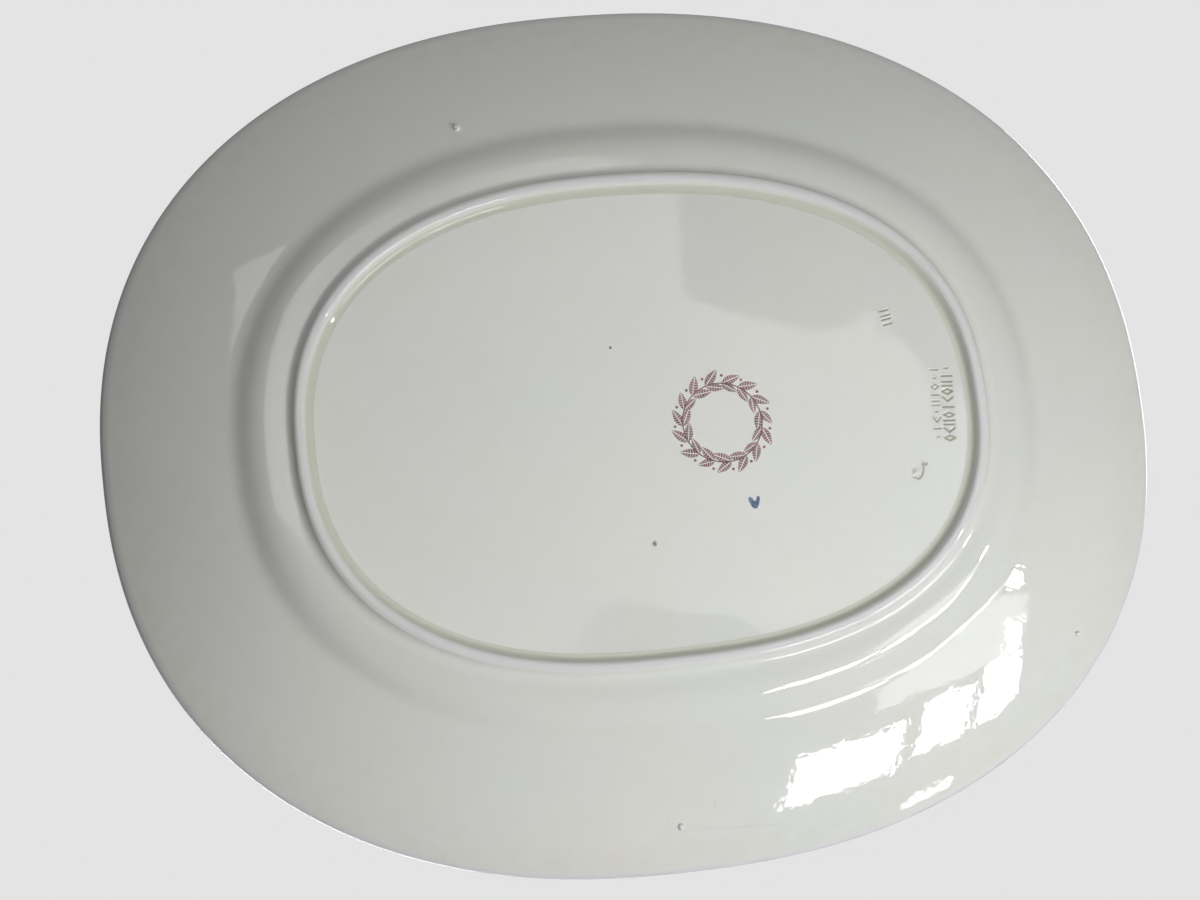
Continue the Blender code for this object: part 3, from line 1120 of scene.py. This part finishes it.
wreath_centre = box_middle("printed_wreath")
wreath_values = {
    "Leaves": 15,
    "Radius": 13.4 * MM,
    "Leaf length": 6.4 * MM,
    "Lean": 0.50,
    "Depth": PRINT_DEEP,
    "Berry": 0.50 * MM,
    "Seed": 7,
    "Material": plum_ink,
}
laurel_wreath = grow("laurel_wreath", leaf, make_wreath_tree(), wreath_values)

# %% [markdown]
# The wreath was grown round the origin. Its place has to be in its mesh, so each point is moved to
# the middle of the measured wreath and onto the panel's slow waves there.

# %% Lay the print on the panel
PRINT_SUNK = 0.06 * MM


def lay_on_panel(mesh, centre, sunk):
    """Moves a flat print to its centre. Its deep side ends up under the panel's surface."""
    base = min(vert.co.z for vert in mesh.vertices)
    for vert in mesh.vertices:
        x, y = vert.co.x + centre.x, vert.co.y + centre.y
        vert.co = (x, y, FOOT_HEIGHT + panel_wave(x, y) + vert.co.z - base - sunk)
    mesh.update()


lay_on_panel(laurel_wreath.data, wreath_centre, PRINT_SUNK)
print("the wreath lies round", [round(v / MM, 1) for v in wreath_centre], "mm")

# %% [markdown]
# ## The painter's dab
#
# A painter signed with one touch of blue. The brush left two lobes of colour that meet in a point,
# with a paler middle where it lifted, so it is made of overlapping strokes with ragged edges.

# %% The dab
STROKE_STEPS = 14


def stroke(bm, start, end, width, taper, seed):
    """One touch of the brush, from a wide start to a narrow end."""
    start, end = Vector(start) * MM, Vector(end) * MM
    run = end - start
    side = Vector((-run.y, run.x)).normalized()
    left, right = [], []
    for i in range(STROKE_STEPS + 1):
        t = i / STROKE_STEPS
        swell = math.sqrt(math.sin(math.pi * (0.06 + 0.88 * t)))
        half = width * MM / 2 * (1 - taper * t) * swell
        for edge, sign in ((left, 1), (right, -1)):
            wobble = 1 + 0.25 * noise.noise(Vector((t * 6, sign * 2.0, seed)))
            edge.append(start + run * t + side * half * sign * wobble)
    outline = [tuple(p) for p in left + list(reversed(right))]
    prism(bm, outline, 0.0, PRINT_DEEP * (1 + 0.12 * seed))


def make_dab():
    bm = bmesh.new()
    stroke(bm, (1.6, 1.9), (0.1, -2.1), 1.9, 0.35, 0.2)
    stroke(bm, (-1.5, 2.0), (-0.4, -2.1), 1.5, 0.30, 0.6)
    stroke(bm, (0.3, 0.5), (-0.2, -2.0), 2.4, 0.45, 1.0)
    bmesh.ops.recalc_face_normals(bm, faces=bm.faces)
    return closed(bm, "blue_dab", blue_enamel)


blue_dab = put("blue_dab", make_dab())
lay_on_panel(blue_dab.data, box_middle("painted_dab"), PRINT_SUNK)
print("dab:", len(blue_dab.data.polygons), "faces")

# %% [markdown]
# ## Kiln crumbs
#
# Small grains of kiln furniture stuck to the back in the firing. Glaze crept up round them, so each
# is a rough grain that widens into a smooth skirt. A ball of fine triangles is pushed about by
# noise, flattened against the surface and spread at its base.

# %% The crumb's finish
def make_grit(name):
    finish, tree, where = new_finish(name)
    grain = clouds(tree, where, 0.5 * MM, 4.0, 0.7)
    skirt = stored(tree, "skirt").step(0.2, 0.8)
    colour = tree.blend(grain.step(0.3, 0.7), (0.74, 0.72, 0.72), (0.90, 0.89, 0.92))
    colour = tree.blend(stored(tree, "soot") * (1 - skirt), colour, (0.22, 0.22, 0.20))
    colour = tree.blend(skirt, colour, CREAM)
    rough = grain.spread(0.3, 0.7, 0.20, 0.35) * (1 - skirt) + skirt * 0.1
    sockets = {"Base Color": colour, "Roughness": rough, "IOR": GLASS_IOR, "Coat Weight": skirt}
    sockets.update({"Coat Roughness": 0.06, "Normal": bumped(tree, grain, 0.3, 0.08 * MM)})
    end_finish(tree, sockets)
    return finish


kiln_grit = make_grit("kiln grit")
print("grit nodes:", len(kiln_grit.node_tree.nodes))

# %% [markdown]
# Three crumbs stand on the rim, on its slope, and one lies flat and sooty on the panel. Each is
# made where the measured model has its mark and as wide as that mark, so the two agree.

# %% The crumbs
CRUMBS = 4  # the last lies on the panel
RIM_SLOPE = back_slope((SHOULDER_OUT + EDGE_OUT) / 2)


def crumb_mesh(name, centre, up, radius, seed, soot, tall):
    """A rough grain with a skirt, standing along up."""
    bm = bmesh.new()
    bmesh.ops.create_icosphere(bm, subdivisions=5, radius=1.0)
    skirt = bm.verts.layers.float.new("skirt")
    sooty = bm.verts.layers.float.new("soot")
    turn = up.to_track_quat("Z", "X").to_matrix()
    for vert in bm.verts:
        p = vert.co.copy()
        flare = max(0.25 - p.z, 0)
        push = 0.14 * noise.fractal(p * 1.4 + Vector((seed, 0, 0)), 0.8, 2.0, 3)
        wide = 1 + 0.5 * flare**1.5
        p.x *= wide * (1.15 + push)
        p.y *= wide * (0.9 + push)
        p.z *= tall + push
        vert[skirt], vert[sooty] = min(flare * 1.4, 1), soot
        vert.co = centre + turn @ (p * radius)
    mesh = closed(bm, name, kiln_grit)
    mesh.shade_smooth()
    return mesh


crumbs = []
for number in range(1, CRUMBS + 1):
    mark = f"spur_mark_{number}"
    middle = box_middle(mark)
    radius = middle.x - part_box(mark)[0][0]
    on_panel = number == CRUMBS
    outward = Vector((middle.x, middle.y, 0)).normalized()
    slope = 0.0 if on_panel else RIM_SLOPE
    away = (outward * math.sin(slope) - Vector((0, 0, math.cos(slope)))).normalized()
    base = middle - away * radius * 0.35
    soot, tall = (0.75, 0.45) if on_panel else (0.0, 0.75)
    name = f"kiln_crumb_{number}"
    crumbs.append(put(name, crumb_mesh(name, base, away, radius, number * 3.1, soot, tall)))
print("crumbs:", [len(c.data.polygons) for c in crumbs])

# %% [markdown]
# ## Glaze threads
#
# Near the lower edge of the rim, glaze has run in fine raised threads: one long, one short and
# crooked, and a small ring. Each is drawn by a few points. A smooth curve through them is dropped
# onto the dish, and a Geometry Nodes tree gives it a round section that lies half in the surface.

# %% The thread as a node tree
def make_thread_tree():
    group, tree, wires = new_tree("thread", [("Thickness", False), ("Sides", True)])
    curve = tree.add("GeometryNodeMeshToCurve", None, {"Mesh": wires["Geometry"]})
    circle = {"Resolution": wires["Sides"], "Radius": wires["Thickness"] / 2}
    profile = tree.add("GeometryNodeCurvePrimitiveCircle", None, circle)
    sockets = {"Curve": curve, "Profile Curve": profile, "Fill Caps": True}
    tube = tree.add("GeometryNodeCurveToMesh", None, sockets)
    tube = tree.add("GeometryNodeSetShadeSmooth", None, {0: tube})
    end_tree(tree, tube, wires["Material"])
    return group


thread_tree = make_thread_tree()
print("a thread's tree has", len(thread_tree.nodes), "nodes")

# %% [markdown]
# The long thread and the crooked one are open paths and the ring is a closed one. All three go into
# one mesh of edges, so the tree sweeps them together as one piece.

# %% The threads
LONG_THREAD = (
    (5.0, -130.7), (4.8, -133.2), (3.7, -135.2), (1.2, -135.9), (-4.0, -135.2), (-34.6, -136.5),
)
CROOKED_THREAD = (
    (-9.3, -127.2), (-10.4, -129.0), (-11.0, -127.2), (-12.4, -129.5), (-13.4, -128.6),
)
RING_MIDDLE = Vector((1.0, -133.8)) * MM
RING_RADIUS = 1.0 * MM
THREAD_STEPS = 12
UNDER = Vector((0, 0, -50)) * MM  # rays start here, below the back


def through(points, steps):
    """A smooth curve through points."""
    points = [Vector(p) * MM for p in points]
    padded = [points[0] * 2 - points[1], *points, points[-1] * 2 - points[-2]]
    curve = []
    for before, start, end, after in zip(padded, padded[1:], padded[2:], padded[3:]):
        for i in range(steps):
            t = i / steps
            pull = (end - before) * (t**3 - 2 * t**2 + t) / 2 + (after - start) * (t**3 - t**2) / 2
            curve.append(start * (2 * t**3 - 3 * t**2 + 1) + end * (3 * t**2 - 2 * t**3) + pull)
    return curve + [points[-1]]


def lay_on_dish(curve, sunk):
    """Drops flat points onto the dish's back, a little under its surface."""
    laid = []
    for spot in curve:
        _, point, _, _ = glazed_dish.ray_cast(spot.to_3d() + UNDER, Vector((0, 0, 1)))
        laid.append(point + Vector((0, 0, sunk)))
    return laid


def make_threads(thickness):
    """All the threads as one piece."""
    ring = [RING_MIDDLE + Vector((math.cos(a), math.sin(a))) * RING_RADIUS for a in turns(24)]
    curves = [through(points, THREAD_STEPS) for points in (LONG_THREAD, CROOKED_THREAD)]
    curves = [lay_on_dish(curve, thickness * 0.15) for curve in (*curves, ring)]
    spots, links = [], []
    for curve in curves:
        first = len(spots)
        spots += curve
        links += [(i, i + 1) for i in range(first, len(spots) - 1)]
    links.append((len(spots) - 1, len(spots) - len(ring)))
    path = bpy.data.meshes.new("thread_path")
    path.from_pydata(spots, links, [])
    values = {"Thickness": thickness, "Sides": 8, "Material": coat_glaze}
    return grow("glaze_threads", path, thread_tree, values)


glaze_threads = make_threads(0.36 * MM)

# %% [markdown]
# ## The clay body
#
# The body is wrapped in glaze on every side, so its measured shape stays. It still gets a real
# finish, a pale, slightly open fired clay, in case a cut through the platter is ever shown.

# %% The body's finish
def make_clay(name):
    finish, tree, where = new_finish(name)
    grain = clouds(tree, where, 0.6 * MM, 4.0, 0.65)
    broad = clouds(tree, where, 30 * MM, 2.0)
    colour = tree.blend(broad, (0.78, 0.73, 0.63), (0.82, 0.78, 0.70))
    colour = tree.blend(grain.step(0.45, 0.75) * 0.3, colour, (0.64, 0.58, 0.48))
    sockets = {"Base Color": colour, "Roughness": grain.spread(0.3, 0.7, 0.65, 0.85)}
    sockets["Normal"] = bumped(tree, grain, 0.35, 0.1 * MM)
    end_finish(tree, sockets)
    return finish


fired_clay = make_clay("fired clay")
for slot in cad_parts["platter_body"].material_slots:
    slot.material = fired_clay
    print("the body carries", slot.material.name)

# %% [markdown]
# ## Riding and replacing
#
# Every piece rides on the platter's one body, and the measured node it stands for is hidden. Each
# row of the table names a piece, that node and a finish slot.

# %% Tie the pieces to the measured model
TIES = [
    (glazed_dish, "glaze_coat", "coat_glaze"),
    (glaze_threads, "glaze_coat", "coat_glaze"),
    (glazed_foot, "foot_ring", "foot_glaze"),
    (glazed_panel, "glaze_panel", "panel_glaze"),
    (laurel_wreath, "printed_wreath", "plum_print"),
    (blue_dab, "painted_dab", "blue_enamel"),
]
TIES += [(crumb, f"spur_mark_{n}", "kiln_grit") for n, crumb in enumerate(crumbs, start=1)]
for piece, node, slot in TIES:
    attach(piece, "root")
    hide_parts(node)
print(len(TIES), "pieces tied")

# %% [markdown]
# ## Floor, lamps and camera
#
# The platter is shown from below, so that its back can be seen, as if it stood on glass. The floor
# is a pale plane that shows only its upper side and lets light through, so the views from above
# have a floor and the view from below doesn't lose the platter. Lamps below light the back, with a
# tall window to one side, and lamps above light the food side.

# %% The floor
BACKDROP = 0.775  # how bright the room looks behind the platter
FLOOR_HALF = 4.0
FLOOR_HEIGHT = -0.2 * MM
FADE = (0.35, 1.8)  # the floor fades into the room between these distances


def make_floor():
    """A pale floor that fades into the room with distance, and shows only from above."""
    finish, tree, where = new_finish("pale floor")
    shade = {"Color": (0.74, 0.74, 0.73, 1), "Roughness": 0.5}
    matt = tree.add("ShaderNodeBsdfDiffuse", None, shade)
    far = tree.add("ShaderNodeEmission", None, {"Color": (1, 1, 1, 1), "Strength": BACKDROP})
    clear = tree.add("ShaderNodeBsdfTransparent")
    away = tree.vector("LENGTH", where).step(*FADE)
    above = tree.add("ShaderNodeMixShader", None, {0: away, 1: matt, 2: far})
    side = tree.add("ShaderNodeNewGeometry", output="Backfacing")
    end_finish(tree, {0: side, 1: above, 2: clear}, "ShaderNodeMixShader")
    half = FLOOR_HALF
    corners = ((-half, -half), (half, -half), (half, half), (-half, half))
    bm = bmesh.new()
    bm.faces.new([bm.verts.new((*corner, FLOOR_HEIGHT)) for corner in corners])
    floor = put("floor", closed(bm, "floor", finish))
    floor.visible_diffuse = floor.visible_glossy = floor.visible_shadow = False
    floor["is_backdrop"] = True
    print("the floor lies at", FLOOR_HEIGHT / MM, "mm")


make_floor()

# %% [markdown]
# ## Lamps
#
# Each lamp is a soft rectangle, set by how bright its face is. The window is low on one side, and
# its panes only show in the gloss. A wide lamp without gloss gives the light that falls from it.
# Below, one lamp stands near the camera and one far behind. Two more light the food side.

# %% The lamps
def lamp(name, place, size, radiance, facing=None, glossy=True, diffuse=True):
    """A soft rectangular lamp of a given radiance. It faces the platter, or along its own axes."""
    light = bpy.data.lights.new(name, "AREA")
    light.shape, light.size, light.size_y = "RECTANGLE", *size
    light.energy = radiance * size[0] * size[1] * math.pi
    made = put(name, light)
    place = Vector(place)
    if facing is None:
        axes = (-place).to_track_quat("-Z", "Y").to_matrix()
    else:
        along, up = (Vector(axis).normalized() for axis in facing)
        axes = Matrix((along, up, along.cross(up))).transposed()
    made.matrix_world = Matrix.Translation(place) @ axes.to_4x4()
    made.visible_camera, made.visible_glossy, made.visible_diffuse = False, glossy, diffuse
    print(name, "at", [round(v, 2) for v in place])


ROOM_UP = Vector((-0.0874, 0.9726, -0.2155)).normalized()
SILL_NEAR = Vector((-0.388, -0.881, -0.849))  # the lower corners of the window
SILL_FAR = Vector((-1.743, -1.047, -1.366))
PANES = (  # along the sill from and to, above it from and to in millimetres, radiance
    (-30, 326, 5, 188, 20.0),
    (400, 728, 15, 228, 20.0),
    (794, 1255, 8, 250, 20.0),
    (960, 1190, 262, 425, 14.0),
    (150, 1250, 262, 560, 4.0),
    (930, 1130, 590, 665, 220.0),
    (480, 740, -250, -195, 14.0),
)
sill = (SILL_FAR - SILL_NEAR).normalized()
window = (sill, ROOM_UP)
for number, (near, far, low, high, radiance) in enumerate(PANES):
    spot = SILL_NEAR + (sill * (near + far) + ROOM_UP * (low + high)) / 2 * MM
    size = (far - near) * MM, (high - low) * MM
    lamp(f"window_pane_{number}", spot, size, radiance, facing=window, diffuse=False)
glow_place = SILL_NEAR + sill * 0.65 + ROOM_UP * 0.25
lamp("window_glow", glow_place, (1.4, 0.6), 5.9, facing=window, glossy=False)

lamp("under_lamp", (-0.138, -0.362, -0.5), (0.8, 0.8), 1.42, glossy=False)
lamp("far_lamp", (0.02, 3.0, -0.5), (0.8, 0.8), 9.2, glossy=False)
lamp("top_softbox", (0.8, -1.2, 1.8), (1.4, 1.4), 7.0)
lamp("top_fill", (-1.6, 0.6, 1.3), (1.2, 1.2), 3.6)

# %% [markdown]
# ## The reflector card
#
# A pale card lies level with the camera and shows only in the gloss of the back. Its lower edge is
# torn into soft steps, which is what leaves the darker patches on the panel. It glows most to one
# side, so the gloss fades across the panel.

# %% The reflector card
CARD_HEIGHT = -1.593
CARD_GLOW = 2.2
CARD_OUTLINE = (  # in millimetres
    (1000, 150), (-223, 165), (-234, 187), (-256, 207), (-282, 212), (-309, 201), (-347, 191),
    (-365, 183), (-375, 150), (-523, 135), (-550, 321), (-515, 330), (-498, 348), (-480, 368),
    (-457, 389), (-434, 383), (-409, 376), (-377, 396), (-342, 406), (-335, 419), (-339, 471),
    (-344, 515), (-350, 1400), (1000, 1400),
)


def make_card():
    finish, tree, where = new_finish("card glow")
    across, _, _ = tree.parts(where)
    near_side = across.spread(-0.38, -0.06, 0.62, 0.0)
    far_side = across.spread(0.10, 0.45, 0.0, 0.55)
    glow = tree.blend(near_side + far_side + 0.38, (0, 0, 0), (CARD_GLOW,) * 3)
    end_finish(tree, {"Color": glow, "Strength": 1.0}, "ShaderNodeEmission")
    bm = bmesh.new()
    bm.faces.new([bm.verts.new((x * MM, y * MM, CARD_HEIGHT)) for x, y in CARD_OUTLINE])
    bmesh.ops.triangulate(bm, faces=bm.faces)
    card = put("card", closed(bm, "card", finish))
    card.visible_camera = card.visible_diffuse = card.visible_shadow = False
    card.visible_transmission = False
    card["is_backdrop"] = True
    print("the card has", len(card.data.polygons), "triangles")


make_card()

# %% [markdown]
# ## The room
#
# The room is an even pale grey. It looks light behind the platter, shows faintly in the gloss and
# adds little light of its own, so the lamps shape the piece.

# %% The room
ROOM_LIGHT = 0.055
ROOM_IN_GLOSS = 0.26

world = bpy.data.worlds.new("pale studio")
bpy.context.scene.world = world
world.use_nodes = True
sky = Tree(world.node_tree)
path = sky.node("ShaderNodeLightPath")
seen, mirrored = Wire(sky, path.outputs["Is Camera Ray"]), Wire(sky, path.outputs["Is Glossy Ray"])
strength = ROOM_LIGHT + mirrored * ROOM_IN_GLOSS + seen * (BACKDROP - ROOM_LIGHT)
glow = sky.add("ShaderNodeBackground", None, {"Color": (1, 1, 1, 1), "Strength": strength})
sky.node("ShaderNodeOutputWorld", None, {"Surface": glow})
bpy.context.scene.view_settings.view_transform = "Standard"
print("the room is set")

# %% [markdown]
# ## The camera
#
# The camera stands below the platter, a little off its middle, and looks up at its back. A long
# lens keeps the oval true.

# %% The camera
EYE = Vector((299.5, -332.7, -1593.3)) * MM
LOOK_AT = Vector((16.2, -9.5, 0.0)) * MM

camera_data = bpy.data.cameras.new("camera")
camera_data.lens, camera_data.sensor_width = 150, 36
camera = put("camera", camera_data)
back = (EYE - LOOK_AT).normalized()
right = ROOM_UP.cross(back).normalized()
turned = Matrix((right, back.cross(right), back)).transposed()
camera.matrix_world = Matrix.Translation(EYE) @ turned.to_4x4()
bpy.context.scene.camera = camera
print("the camera is", round((EYE - LOOK_AT).length, 3), "m away")

# %% [markdown]
# ## Sizes and the end
#
# The dressed platter should fill the same box as the measured one. Both boxes are printed.

# %% Print the boxes
dressed_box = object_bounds()
boxes = [[list(map(float, corner)) for corner in box] for box in (measured_box, dressed_box)]
print("boxes in mm:", [[[round(v / MM, 2) for v in corner] for corner in box] for box in boxes])
